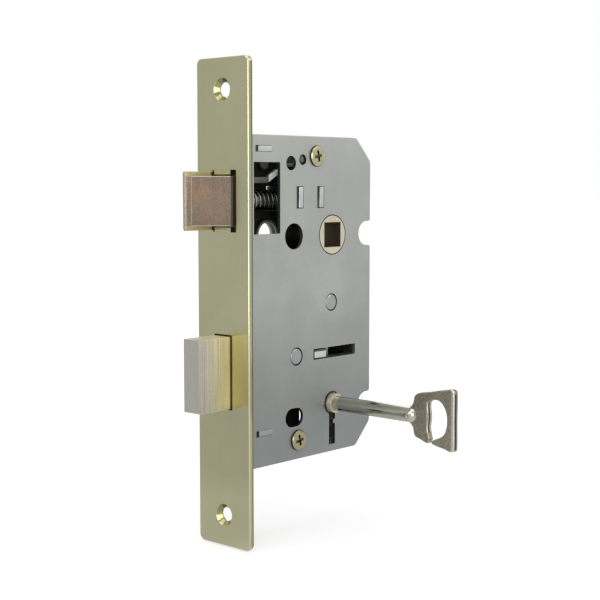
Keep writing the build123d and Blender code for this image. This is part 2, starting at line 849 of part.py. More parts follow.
def key_bow():
    """Flat bow with a D shaped hole that a narrow slit opens at the edge."""
    upper = [(-bow_start, bow_neck), (-bow_start - bow_shoulder, bow_shoulder_half)]
    upper += [(-bow_start - bow_shoulder, bow_front), (-bow_end, bow_back)]
    lower = [(y, -z) for y, z in reversed(upper)]
    bow = make_face(Polyline(*upper, *lower, close=True))
    outer = [v for v in bow.vertices() if abs(v.Y) > bow_shoulder_half + seat]
    bow = fillet(outer, bow_round)
    bow += block(-bow_start, tang_depth - bow_start, -tang_half, tang_half)
    top = (-bow_hole_front, bow_hole_half)
    bottom = (-bow_hole_front, -bow_hole_half)
    curve = ThreePointArc(top, (-bow_hole_back, 0), bottom)
    hole = make_face([curve.edge(), Line(bottom, top).edge()])
    bow -= fillet(hole.vertices(), bow_hole_round)
    bow -= Pos(-slit_y, slit_z) * Rot(0, 0, -slit_turn) * Rectangle(slit_length, slit_width)
    half = bow_thickness / 2
    return panel(Pos(0, key_z) * bow, backset - half, backset + half) - bow_pin_shape()


rod_hole = disc((0, latch_z), latch_rod + 2 * running)
stirrup_half = stirrup_outside / 2 + stirrup_window_play
stirrup_window = block(
    -stirrup_half, stirrup_half, latch_z + stirrup_low - latch_play, latch_z + stirrup_high + latch_play
)

os.makedirs("parts", exist_ok=True)
keep("faceplate", faceplate())
keep("case_back", case_back())
keep("case_cover", case_cover())
keep("faceplate_rivets", faceplate_rivets())
for side in brackets:
    keep(f"bracket_{side}", bracket(side))
for side, place in pillars.items():
    keep(f"cover_pillar_{side}", cover_pillar(place))
keep("cover_screws", cover_screws())
keep("lever_pivot_post", post(lever_post, lever_post_head, lever_post_shaft))
keep("spring_post", post(spring_post, spring_post_head, spring_post_shaft))
keep("latch_guide_front", latch_guide(guide_front_x, guide_front_low, rod_hole))
keep("latch_guide_rear", latch_guide(guide_rear_x, guide_rear_low, stirrup_window))
keep("latch_head", latch_head())
keep("latch_pin", latch_pin_shape())
keep("latch_rod", latch_rod_shape())
keep("latch_stirrup", latch_stirrup())
keep("latch_strip", latch_strip())
keep("latch_spring", latch_spring())
keep("follower", follower())
keep("follower_spring", follower_spring())
keep("deadbolt_head", deadbolt_head())
keep("deadbolt_tail", deadbolt_tail())
keep("deadbolt_stump", deadbolt_stump())
keep("deadbolt_rivets", tail_rivet_shapes())
for number in range(lever_count):
    keep(f"lever_{number + 1}", lever(number))
    keep(f"lever_spring_{number + 1}", lever_spring(number))
keep("key_shaft", key_shaft_shape())
keep("key_bit", key_bit())
keep("key_collar", key_collar())
keep("key_bow", key_bow())
keep("key_bow_pin", bow_pin_shape())
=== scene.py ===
import bpy
import bmesh
import json
import math
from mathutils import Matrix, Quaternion, Vector


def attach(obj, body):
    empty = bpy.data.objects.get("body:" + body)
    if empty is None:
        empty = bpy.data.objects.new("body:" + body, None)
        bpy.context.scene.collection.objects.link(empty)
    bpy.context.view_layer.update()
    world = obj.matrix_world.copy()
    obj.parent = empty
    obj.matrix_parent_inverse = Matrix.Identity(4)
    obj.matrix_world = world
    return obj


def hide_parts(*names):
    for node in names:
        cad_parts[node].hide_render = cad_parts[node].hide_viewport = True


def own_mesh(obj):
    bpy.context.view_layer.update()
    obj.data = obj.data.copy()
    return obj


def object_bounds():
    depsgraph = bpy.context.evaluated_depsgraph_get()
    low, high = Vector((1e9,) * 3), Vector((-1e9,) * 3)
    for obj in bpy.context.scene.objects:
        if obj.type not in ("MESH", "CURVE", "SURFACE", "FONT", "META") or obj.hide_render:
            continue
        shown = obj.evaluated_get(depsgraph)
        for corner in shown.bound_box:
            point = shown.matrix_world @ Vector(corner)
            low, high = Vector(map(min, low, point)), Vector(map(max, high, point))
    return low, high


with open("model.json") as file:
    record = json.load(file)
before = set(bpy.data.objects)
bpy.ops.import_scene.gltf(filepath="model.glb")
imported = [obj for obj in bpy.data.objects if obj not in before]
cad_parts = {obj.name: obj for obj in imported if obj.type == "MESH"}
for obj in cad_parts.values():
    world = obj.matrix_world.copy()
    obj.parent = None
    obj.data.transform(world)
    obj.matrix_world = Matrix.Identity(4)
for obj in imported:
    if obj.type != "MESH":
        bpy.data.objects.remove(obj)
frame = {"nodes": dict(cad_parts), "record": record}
cadBox = [list(corner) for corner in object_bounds()]
mm = 0.001

# places in mm that several pieces and finishes share, as x and z
screwPlaces = [(36.1, 47.25), (26.95, -46.15)]
followerAxis = (44.0, 21.2)
keyAxis = (44.0, -35.8)
leverPostAxis = (26.2, -18.3)
springPostAxis = (43.5, -1.5)
latchAxisZ = 32.85
coverFace = -7.5


def say(stage):
    print("sashlock scene:", stage)


# node helpers, for materials and for geometry


def feed(nt, value, socket):
    # a plain value, or the output of another node, into a socket
    if isinstance(value, bpy.types.NodeSocket):
        nt.links.new(value, socket)
    else:
        socket.default_value = value


def mathNode(nt, operation, a, b=None, clamp=False):
    node = nt.nodes.new("ShaderNodeMath")
    node.operation = operation
    node.use_clamp = clamp
    feed(nt, a, node.inputs[0])
    if b is not None:
        feed(nt, b, node.inputs[1])
    return node.outputs[0]


def vectorNode(nt, operation, a, b=None, output="Value"):
    node = nt.nodes.new("ShaderNodeVectorMath")
    node.operation = operation
    feed(nt, a, node.inputs[0])
    if b is not None:
        feed(nt, b, node.inputs[1])
    return node.outputs[output]


def rangeNode(nt, value, low, high, toLow=0.0, toHigh=1.0):
    node = nt.nodes.new("ShaderNodeMapRange")
    node.clamp = True
    node.inputs["From Min"].default_value = low
    node.inputs["From Max"].default_value = high
    node.inputs["To Min"].default_value = toLow
    node.inputs["To Max"].default_value = toHigh
    nt.links.new(value, node.inputs["Value"])
    return node.outputs["Result"]


def axisNode(nt, vector, axis):
    split = nt.nodes.new("ShaderNodeSeparateXYZ")
    nt.links.new(vector, split.inputs[0])
    return split.outputs[axis]


def coordNode(nt, kind):
    return nt.nodes.new("ShaderNodeTexCoord").outputs[kind]


noiseSettings = {
    "brush": {"detail": 4.0, "rough": 0.65, "low": 0.3, "high": 0.7},
    "cloud": {"detail": 4.0, "rough": 0.6, "low": 0.3, "high": 0.7},
    "speck": {"detail": 2.0, "rough": 0.5},
    "wear": {"detail": 3.0, "rough": 0.6},
    "grain": {"detail": 3.0, "rough": 0.6, "low": 0.42, "high": 0.6},
    "stain": {"detail": 5.0, "rough": 0.7, "low": 0.35, "high": 0.65},
}


def noiseNode(nt, vector, scale, kind):
    s = noiseSettings[kind]
    node = nt.nodes.new("ShaderNodeTexNoise")
    node.inputs["Detail"].default_value = s["detail"]
    node.inputs["Roughness"].default_value = s["rough"]
    feed(nt, scale, node.inputs["Scale"])
    nt.links.new(vector, node.inputs["Vector"])
    return node.outputs["Fac"]


def spreadNode(nt, noise, kind):
    # the middle of the noise drawn out to the full range
    s = noiseSettings[kind]
    return rangeNode(nt, noise, s["low"], s["high"])


def mixColour(nt, share, a, b):
    # the colour sockets of a Mix node come after its number and vector ones
    node = nt.nodes.new("ShaderNodeMix")
    node.data_type = "RGBA"
    for value, socket in ((share, node.inputs[0]), (a, node.inputs[6]), (b, node.inputs[7])):
        feed(nt, value, socket)
    return node.outputs[2]


def mixShader(nt, share, a, b):
    node = nt.nodes.new("ShaderNodeMixShader")
    nt.links.new(share, node.inputs["Fac"])
    nt.links.new(a, node.inputs[1])
    nt.links.new(b, node.inputs[2])
    return node.outputs[0]


def newGroup(kind, name, inputs, outputs):
    group = bpy.data.node_groups.new(name, kind)
    for label, socketKind in inputs:
        group.interface.new_socket(label, in_out="INPUT", socket_type=socketKind)
    for label, socketKind in outputs:
        group.interface.new_socket(label, in_out="OUTPUT", socket_type=socketKind)
    return group, group.nodes.new("NodeGroupInput"), group.nodes.new("NodeGroupOutput")


# camera, lights and room

cameraSettings = {
    "place": (-280.49, -288.80, 39.08),  # mm, worked out from the photo
    "azimuth": -47.626,
    "down": 5.314,
    "lens": 76.73,
    "sensor": 36.0,
    "near": 0.01,
    "far": 20.0,
}


def makeCamera(s):
    data = bpy.data.cameras.new("camera")
    data.lens = s["lens"]
    data.sensor_width = s["sensor"]
    data.clip_start = s["near"]
    data.clip_end = s["far"]
    camera = bpy.data.objects.new("camera", data)
    bpy.context.collection.objects.link(camera)
    camera.location = Vector(s["place"]) * mm
    a = math.radians(s["azimuth"])
    e = math.radians(s["down"])
    forward = Vector((-math.sin(a) * math.cos(e), math.cos(a) * math.cos(e), -math.sin(e)))
    camera.rotation_mode = "QUATERNION"
    camera.rotation_quaternion = forward.to_track_quat("-Z", "Y")
    bpy.context.scene.camera = camera


lightSettings = [
    # name, place in m, size in m, power in W, colour
    ("softboxLeft", (-0.95, 0.25, 0.75), (0.8, 0.8), 3.0, (1.0, 0.985, 0.96)),
    ("softboxRight", (0.65, -1.0, 0.75), (0.8, 0.8), 3.0, (0.97, 0.985, 1.0)),
    ("softboxTop", (-0.1, -0.1, 1.2), (1.0, 1.0), 4.0, (1.0, 1.0, 1.0)),
    ("fillBack", (0.6, 0.9, 0.5), (0.8, 0.8), 2.0, (1.0, 1.0, 1.0)),
    ("frontLamp", (-0.36, -0.31, 0.10), (0.34, 0.34), 1.2, (1.0, 1.0, 1.0)),
]


def makeLights(rows):
    for name, place, size, power, colour in rows:
        data = bpy.data.lights.new(name, "AREA")
        data.shape = "RECTANGLE"
        data.size, data.size_y = size
        data.energy = power
        data.color = colour
        lamp = bpy.data.objects.new(name, data)
        bpy.context.collection.objects.link(lamp)
        lamp.location = place
        lamp.rotation_mode = "QUATERNION"
        lamp.rotation_quaternion = (-Vector(place)).to_track_quat("-Z", "Y")


worldSettings = {
    "grey": 0.8,
    "riseSpan": (-0.3, 0.9), "low": 0.55, "high": 1.0,  # the light that falls on the object
    "shine": 0.92,  # what its metal mirrors
    "cameraWay": (-0.70, -0.71, 0.05), "cameraSpan": (0.74, 0.97), "darkSide": 0.2,
    "plateWay": (-0.74, 0.67, 0.0), "plateSpan": (0.78, 0.92), "dullSide": 0.75,
}


def makeWorld(s):
    # white behind the object, an even pale studio in its metal, darker where the camera stands
    # and a little duller where the faceplate looks
    world = bpy.data.worlds.new("room")
    bpy.context.scene.world = world
    world.use_nodes = True
    nt = world.node_tree
    nt.nodes.clear()

    def background(grey, strength):
        node = nt.nodes.new("ShaderNodeBackground")
        node.inputs["Color"].default_value = (grey, grey, grey, 1)
        feed(nt, strength, node.inputs["Strength"])
        return node.outputs[0]

    direction = coordNode(nt, "Generated")
    rise = rangeNode(nt, axisNode(nt, direction, "Z"), *s["riseSpan"], s["low"], s["high"])
    cameraSide = vectorNode(nt, "DOT_PRODUCT", direction, s["cameraWay"])
    dark = rangeNode(nt, cameraSide, *s["cameraSpan"], s["shine"], s["darkSide"])
    plateSide = vectorNode(nt, "DOT_PRODUCT", direction, s["plateWay"])
    dull = rangeNode(nt, plateSide, *s["plateSpan"], 1.0, s["dullSide"])
    path = nt.nodes.new("ShaderNodeLightPath")
    sky = background(s["grey"], rise)
    shine = background(s["grey"], mathNode(nt, "MULTIPLY", dark, dull))
    lit = mixShader(nt, path.outputs["Is Glossy Ray"], sky, shine)
    seen = mixShader(nt, path.outputs["Is Camera Ray"], lit, background(1.0, 1.0))
    nt.links.new(seen, nt.nodes.new("ShaderNodeOutputWorld").inputs["Surface"])


floorSettings = {
    "size": 12.0, "drop": 0.3, "grey": 0.86, "rough": 0.9,
    # the camera sees plain white far off, and the object's shadow near it
    "white": 1.1, "nearGlow": 0.5, "glowSpan": (0.1, 0.7),
    # metal mirrors this, but where the faceplate looks it is a grey sheet with a darker table beyond
    "shine": 0.84, "sideSpan": (-0.03, 0.005),
    "sheet": 0.59, "table": 0.49, "sheetSpan": (0.1, 0.13),
    "pale": 0.08, "paleSpan": (0.3, 0.8),
}


def makeFloor(s):
    low = cadBox[0][2] - s["drop"] * mm
    half = s["size"] / 2
    mesh = bpy.data.meshes.new("floor")
    corners = [(-half, -half, low), (half, -half, low), (half, half, low), (-half, half, low)]
    mesh.from_pydata(corners, [], [(0, 1, 2, 3)])
    floor = bpy.data.objects.new("floor", mesh)
    bpy.context.collection.objects.link(floor)
    mat = bpy.data.materials.new("floorWhite")
    mat.use_nodes = True
    nt = mat.node_tree
    shader = nt.nodes["Principled BSDF"]
    shader.inputs["Base Color"].default_value = (s["grey"], s["grey"], s["grey"], 1)
    shader.inputs["Roughness"].default_value = s["rough"]
    place = coordNode(nt, "Object")
    distance = vectorNode(nt, "LENGTH", place)
    glow = rangeNode(nt, distance, *s["glowSpan"], s["nearGlow"], 1.0)
    plateSide = rangeNode(nt, axisNode(nt, place, "Y"), *s["sideSpan"])
    sheet = rangeNode(nt, distance, *s["sheetSpan"], s["sheet"], s["table"])
    pale = rangeNode(nt, distance, *s["paleSpan"], 0.0, s["pale"])
    change = mathNode(nt, "SUBTRACT", mathNode(nt, "ADD", sheet, pale), s["shine"])
    shine = mathNode(nt, "ADD", mathNode(nt, "MULTIPLY", change, plateSide), s["shine"])
    path = nt.nodes.new("ShaderNodeLightPath")
    surface = shader.outputs[0]
    for ray, share, strength in (("Is Glossy Ray", 1.0, shine), ("Is Camera Ray", glow, s["white"])):
        white = nt.nodes.new("ShaderNodeEmission")
        feed(nt, strength, white.inputs["Strength"])
        share = mathNode(nt, "MULTIPLY", path.outputs[ray], share)
        surface = mixShader(nt, share, surface, white.outputs[0])
    nt.links.new(surface, nt.nodes["Material Output"].inputs["Surface"])
    mesh.materials.append(mat)


say("camera, lights and room")
makeCamera(cameraSettings)
makeLights(lightSettings)
makeWorld(worldSettings)
makeFloor(floorSettings)
bpy.context.scene.view_settings.view_transform = "Standard"


# shared surface effects, as node groups


def makeBrushGroup():
    # scratches, drawn out along each axis whose Stretch is below 1
    group, start, end = newGroup(
        "ShaderNodeTree", "brushLines",
        [("Vector", "NodeSocketVector"), ("Stretch", "NodeSocketVector"),
         ("Scale", "NodeSocketFloat"), ("Contrast", "NodeSocketFloat")],
        [("Mask", "NodeSocketFloat"), ("Height", "NodeSocketFloat")])
    scaled = vectorNode(group, "MULTIPLY", start.outputs["Vector"], start.outputs["Stretch"], "Vector")
    fine = noiseNode(group, scaled, start.outputs["Scale"], "brush")
    centred = mathNode(group, "SUBTRACT", spreadNode(group, fine, "brush"), 0.5)
    weighted = mathNode(group, "MULTIPLY", centred, start.outputs["Contrast"])
    group.links.new(mathNode(group, "ADD", weighted, 0.5, True), end.inputs["Mask"])
    group.links.new(fine, end.inputs["Height"])
    return group


def makeMottleGroup():
    # broad cloudy change under a finer speckle
    group, start, end = newGroup(
        "ShaderNodeTree", "plateMottle",
        [("Vector", "NodeSocketVector"), ("Broad", "NodeSocketFloat"),
         ("Fine", "NodeSocketFloat"), ("Speckle", "NodeSocketFloat")],
        [("Mask", "NodeSocketFloat"), ("Height", "NodeSocketFloat")])
    broad = noiseNode(group, start.outputs["Vector"], start.outputs["Broad"], "cloud")
    fine = noiseNode(group, start.outputs["Vector"], start.outputs["Fine"], "speck")
    centred = mathNode(group, "SUBTRACT", fine, 0.5)
    weighted = mathNode(group, "MULTIPLY", centred, start.outputs["Speckle"])
    both = mathNode(group, "ADD", spreadNode(group, broad, "cloud"), weighted, True)
    group.links.new(both, end.inputs["Mask"])
    group.links.new(fine, end.inputs["Height"])
    return group


edgeSettings = {"samples": 6, "turnSpan": (0.015, 0.16), "patchScale": 260.0}


def makeEdgeGroup(s):
    # painted highlight along the lines where two faces meet, broken by worn patches
    group, start, end = newGroup(
        "ShaderNodeTree", "edgeHighlightAndWear",
        [("Vector", "NodeSocketVector"), ("Width", "NodeSocketFloat"),
         ("Patchiness", "NodeSocketFloat")],
        [("Mask", "NodeSocketFloat")])
    bevel = group.nodes.new("ShaderNodeBevel")
    bevel.samples = s["samples"]
    group.links.new(start.outputs["Width"], bevel.inputs["Radius"])
    geometry = group.nodes.new("ShaderNodeNewGeometry")
    same = vectorNode(group, "DOT_PRODUCT", bevel.outputs[0], geometry.outputs["Normal"])
    mask = rangeNode(group, mathNode(group, "SUBTRACT", 1.0, same), *s["turnSpan"])
    patches = noiseNode(group, start.outputs["Vector"], s["patchScale"], "wear")
    worn = mathNode(group, "MULTIPLY", patches, start.outputs["Patchiness"])
    kept = mathNode(group, "SUBTRACT", 1.0, worn)
    group.links.new(mathNode(group, "MULTIPLY", mask, kept, True), end.inputs["Mask"])
    return group


say("shared surface effects")
brushLines = makeBrushGroup()
plateMottle = makeMottleGroup()
edgeHighlightAndWear = makeEdgeGroup(edgeSettings)


def placeGroup(nt, group, vector, **values):
    node = nt.nodes.new("ShaderNodeGroup")
    node.node_tree = group
    nt.links.new(vector, node.inputs["Vector"])
    for name, value in values.items():
        node.inputs[name].default_value = value
    return node


# masks for marks in known places


def gapShadeRing(nt, coord, s):
    # painted shade: a thin dark ring round each centre, where a round end sits in its hole
    across, up = axisNode(nt, coord, "X"), axisNode(nt, coord, "Z")
    nearest = None
    for x, z in s["centres"]:
        sideways = mathNode(nt, "SUBTRACT", across, x * mm)
        upwards = mathNode(nt, "SUBTRACT", up, z * mm)
        squares = [mathNode(nt, "MULTIPLY", value, value) for value in (sideways, upwards)]
        radius = mathNode(nt, "SQRT", mathNode(nt, "ADD", *squares))
        nearest = radius if nearest is None else mathNode(nt, "MINIMUM", nearest, radius)
    radius, width = s["radius"], s["width"]
    inner = rangeNode(nt, nearest, (radius - width) * mm, (radius - width / 2) * mm)
    outer = rangeNode(nt, nearest, (radius + width / 2) * mm, (radius + width) * mm, 1.0, 0.0)
    return mathNode(nt, "MULTIPLY", inner, outer)


def spanMask(nt, coord, axis, low, high, soft):
    # 1 between two places along an axis, in mm, with soft ends
    value = axisNode(nt, coord, axis)
    rise = rangeNode(nt, value, (low - soft) * mm, (low + soft) * mm)
    fall = rangeNode(nt, value, (high - soft) * mm, (high + soft) * mm, 1.0, 0.0)
    return mathNode(nt, "MULTIPLY", rise, fall)


boxSoft = 0.08  # mm


def boxMask(nt, coord, spans):
    # 1 inside a box given by its spans in mm along the named axes
    mask = 1.0
    for axis, (low, high) in spans.items():
        mask = mathNode(nt, "MULTIPLY", spanMask(nt, coord, axis, low, high, boxSoft), mask)
    return mask


def stainMask(nt, coord, s):
    # a ragged stain round one place
    away = vectorNode(nt, "DISTANCE", coord, Vector(s["place"]) * mm)
    near = rangeNode(nt, away, 0.0, s["radius"] * mm, 1.0, 0.0)
    ragged = spreadNode(nt, noiseNode(nt, coord, s["scale"], "stain"), "stain")
    return mathNode(nt, "MULTIPLY", near, ragged, True)


# the metal finishes


def metal(name, s):
    # cloudy plating and brushed lines, edges lightened as painted highlight with worn patches, and marks
    # of its own, some of them painted light and shade
    mat = bpy.data.materials.new(name)
    mat.use_nodes = True
    nt = mat.node_tree
    shader = nt.nodes["Principled BSDF"]
    shader.inputs["Metallic"].default_value = s["metallic"]
    coord = coordNode(nt, "Object")
    brush = placeGroup(
        nt, brushLines, coord, Stretch=s["stretch"], Scale=s["brushScale"], Contrast=s["brush"])
    mottle = placeGroup(
        nt, plateMottle, coord, Broad=s["broad"], Fine=s["fine"], Speckle=s["speckle"])
    edge = placeGroup(
        nt, edgeHighlightAndWear, coord, Width=s["edgeWidth"] * mm, Patchiness=s["edgePatch"])

    def tinted(mask, share, under, tint):
        return mixColour(nt, mathNode(nt, "MULTIPLY", mask, share), under, tint)

    colour = mixColour(nt, mottle.outputs["Mask"], s["dark"], s["light"])
    for axis, low, high, soft, share, tint in s["bands"]:
        colour = tinted(spanMask(nt, coord, axis, low, high, soft), share, colour, tint)
    lined = mixColour(nt, brush.outputs["Mask"], s["line"], colour)
    colour = mixColour(nt, s["lineShare"], colour, lined)
    if s["grain"]:
        spots = spreadNode(nt, noiseNode(nt, coord, s["grain"]["scale"], "grain"), "grain")
        colour = tinted(spots, s["grain"]["share"], colour, s["grain"]["tint"])
    for stain in s["stains"]:
        colour = tinted(stainMask(nt, coord, stain), stain["share"], colour, stain["tint"])
    colour = tinted(edge.outputs["Mask"], s["edge"], colour, s["edgeColour"])
    for share, tint, spans in s["boxes"]:
        colour = tinted(boxMask(nt, coord, spans), share, colour, tint)
    if s["rings"]:
        colour = mixColour(nt, gapShadeRing(nt, coord, s["rings"]), colour, s["rings"]["tint"])
    nt.links.new(colour, shader.inputs["Base Color"])
    rough = rangeNode(nt, brush.outputs["Mask"], 0.0, 1.0, *s["rough"])
    nt.links.new(rough, shader.inputs["Roughness"])
    bump = nt.nodes.new("ShaderNodeBump")
    bump.inputs["Strength"].default_value = s["bump"]
    bump.inputs["Distance"].default_value = s["bumpDepth"] * mm
    specks = mathNode(nt, "MULTIPLY", mottle.outputs["Height"], s["speckle"])
    height = mathNode(nt, "ADD", brush.outputs["Height"], specks)
    nt.links.new(height, bump.inputs["Height"])
    nt.links.new(bump.outputs[0], shader.inputs["Normal"])
    return mat


finishDefaults = {
    "metallic": 1.0, "broad": 35.0, "fine": 900.0, "speckle": 0.2,
    "stretch": (1, 1, 1), "brushScale": 900.0, "brush": 0.5, "lineShare": 0.3,
    "edgeWidth": 0.35, "edgePatch": 0.5, "edge": 0.7,
    "bump": 0.15, "bumpDepth": 0.02,
    "bands": [],  # axis, from, to and softness in mm, share, tint
    "boxes": [], "stains": [], "rings": None, "grain": None,
}


def finish(name, **changes):
    s = dict(finishDefaults)
    s.update(changes)
    return metal(name, s)


def srgb(r, g, b):
    def line(c):
        c = c / 255
        return c / 12.92 if c <= 0.04045 else ((c + 0.055) / 1.055) ** 2.4
    return (line(r), line(g), line(b), 1)


def mark(share, tint, **spans):
    # a box of another tint, its spans in mm along the named axes
    return share, tint, spans


# painted shade, for gaps, slots and the dark inside of the case
paintedShade = srgb(38, 38, 36)
caseShadeLow = srgb(132, 137, 137)
caseLitHigh = srgb(195, 197, 191)
caseInsideShade = srgb(58, 58, 54)
countersinkShade = srgb(158, 150, 104)
paintedGlint = srgb(252, 253, 252)
bowHole = {"Y": (-49.5, -48.4), "Z": (-40.6, -30.6)}

tabSlots = {
    # x and z spans of the slots that the tabs stand in
    "spans": [(26.45, 29.75, 30.25, 37.35), (36.5, 39.8, 30.25, 37.35),
              (7.4, 14.85, 48.35, 50.25), (7.4, 14.85, -42.45, -40.55)],
    "before": 0.3, "short": 0.5, "over": 0.1, "share": 0.65,
}


def slotShadeMarks(s):
    # painted shade round each tab, in the slot that it stands in
    before, short, over = s["before"], s["short"], s["over"]
    return [mark(s["share"], paintedShade, X=(x0 - before, x1 - short), Z=(z0 - over, z1 + over))
            for x0, x1, z0, z1 in s["spans"]]


recessMarks = {"half": 1.95, "Y": (-8.3, -7.55), "share": 0.9, "tint": srgb(70, 64, 44)}


def crossMarks(s, places):
    # the shade inside each screw's cross recess
    h = s["half"]
    return [mark(s["share"], s["tint"], X=(x - h, x + h), Y=s["Y"], Z=(z - h, z + h))
            for x, z in places]


